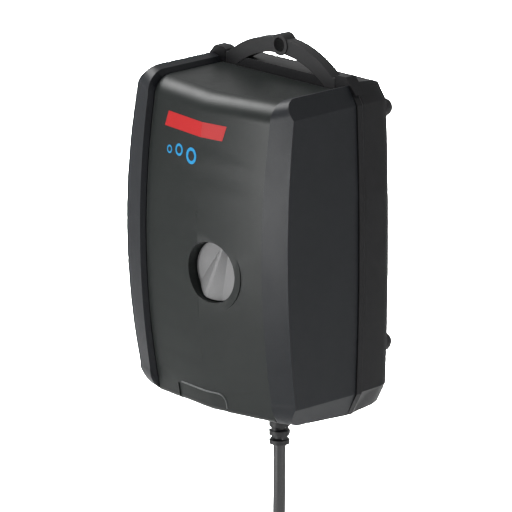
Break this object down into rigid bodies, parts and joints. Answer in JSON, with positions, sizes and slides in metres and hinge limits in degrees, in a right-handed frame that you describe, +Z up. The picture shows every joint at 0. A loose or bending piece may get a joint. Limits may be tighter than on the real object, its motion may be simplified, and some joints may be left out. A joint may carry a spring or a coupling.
{
  "type": "aquarium air pump",
  "caption": "Hanging diaphragm air pump: bowed two-shell housing with a sunk front panel and flow knob, rubber hanger and feet, coiled mains lead.",
  "frame": {"origin": "centre of the rubber hanger's eyelet, which carries the pump on a wall screw", "axes": "+Z up as hung, -Y is the front with the knob, +Y towards the wall, +X is the pump's left hand side (the viewer's right)"},
  "size_m": [0.0969, 0.072, 0.3946],
  "materials": {
    "band_plastic": "fine satin moulded texture, charcoal",
    "panel_plastic": "fine satin moulded texture, charcoal with a green cast",
    "rear_plastic": "satin moulded texture, near black",
    "knob_plastic": "satin grey moulding",
    "black_rubber": "matt black rubber",
    "cord_rubber": "satin black sheath",
    "plated_steel": "zinc plated",
    "sheet_steel": "pressed sheet, mill finish",
    "core_steel": "stacked laminations, oiled",
    "inner_plastic": "natural moulded plastic",
    "arm_plastic": "natural moulded plastic",
    "bobbin_plastic": "red moulded plastic",
    "tie_plastic": "black paper-thin strip",
    "plug_plastic": "smooth black moulding",
    "wire_plastic": "smooth wire insulation",
    "clear_hose": "soft milky hose",
    "magnet_grey": "sintered ferrite",
    "bronze_bush": "sintered bronze",
    "pin_brass": "polished brass",
    "copper_wire": "enamelled copper",
    "white_felt": "pressed felt"
  },
  "bodies": {
    "housing": {"front_cover": "band_plastic", "front_panel": "panel_plastic", "rear_housing": "rear_plastic", "hanger": "black_rubber", "rubber_feet": "black_rubber", "housing_screws": "plated_steel", "throttle_body": "inner_plastic", "throttle_screws": "plated_steel", "pump_hose": "clear_hose", "outlet_hose": "clear_hose", "outlet_nipple": "inner_plastic", "pump_block": "inner_plastic", "valve_plate": "inner_plastic", "bellows": "black_rubber", "bellows_clamp": "inner_plastic", "block_screws": "plated_steel", "pivot_pin": "plated_steel", "pivot_bracket": "sheet_steel", "bracket_screws": "plated_steel", "core_laminations": "core_steel", "coil_bobbin": "bobbin_plastic", "coil_winding": "copper_wire", "core_screws": "plated_steel", "filter_cover": "rear_plastic", "filter_felt": "white_felt", "strain_relief": "cord_rubber", "cord_clamp": "inner_plastic", "clamp_screws": "plated_steel", "lead_wires": "wire_plastic", "mains_lead": "cord_rubber", "lead_tail": "cord_rubber", "lead_coil": "cord_rubber", "coil_tie": "tie_plastic", "plug_body": "plug_plastic", "plug_pins": "pin_brass"},
    "knob": {"control_knob": "knob_plastic", "valve_spindle": "inner_plastic", "spindle_seal": "black_rubber"},
    "arm": {"swing_arm": "arm_plastic", "arm_magnet": "magnet_grey", "arm_bush": "bronze_bush", "bellows_screw": "plated_steel"},
    "inlet_valve": {"inlet_flap": "black_rubber"},
    "outlet_valve": {"outlet_flap": "black_rubber"}
  },
  "joints": [
    {"name": "knob_turn", "type": "hinge", "parent": "housing", "child": "knob", "pos_m": [0.007, -0.036, -0.0865], "axis": [0, -1, 0], "range_deg": [-135, 135]},
    {"name": "arm_swing", "type": "hinge", "parent": "housing", "child": "arm", "pos_m": [0.02, -0.004, -0.034], "axis": [0, 1, 0], "range_deg": [-2.5, 2.5], "stiffness_Nm_per_rad": 0.3, "deforming": ["bellows"]},
    {"name": "inlet_lift", "type": "hinge", "parent": "housing", "child": "inlet_valve", "pos_m": [0.0065, -0.004, -0.0524], "axis": [0, -1, 0], "range_deg": [0, 12], "stiffness_Nm_per_rad": 0.0001},
    {"name": "outlet_lift", "type": "hinge", "parent": "housing", "child": "outlet_valve", "pos_m": [0.0035, -0.004, -0.0644], "axis": [0, 1, 0], "range_deg": [0, 12], "stiffness_Nm_per_rad": 0.0001}
  ]
}
